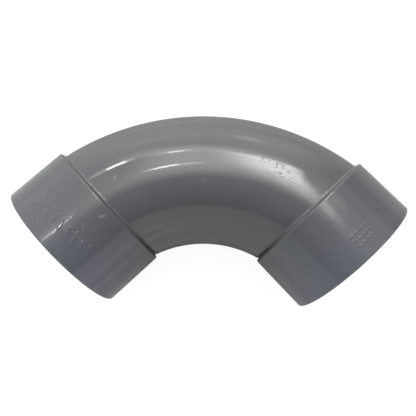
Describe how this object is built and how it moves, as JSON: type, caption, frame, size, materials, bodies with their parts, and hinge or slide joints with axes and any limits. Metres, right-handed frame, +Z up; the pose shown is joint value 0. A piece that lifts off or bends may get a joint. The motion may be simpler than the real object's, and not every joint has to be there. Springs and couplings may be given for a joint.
{
  "type": "pvc conduit elbow",
  "caption": "Rigid grey plastic 90 degree sweep bend for large conduit: a curved tube with a plain socket welded to each end, for solvent-cemented conduit.",
  "frame": {"origin": "on the surface that the elbow lies on, under the middle of its bounding box", "axes": "+Z up, with the bend's plane horizontal; +Y towards the outer side of the bend; +X to the right, along the line from the left mouth to the right mouth"},
  "size_m": [0.3238, 0.1586, 0.1189],
  "materials": {
    "grey_pvc": "glossy moulded grey PVC",
    "weld_pvc": "glossy grey PVC, as left by the weld"
  },
  "bodies": {
    "root": {"bend_tube": "grey_pvc", "left_socket": "grey_pvc", "right_socket": "grey_pvc", "left_weld_ring": "weld_pvc", "right_weld_ring": "weld_pvc"}
  },
  "joints": []
}
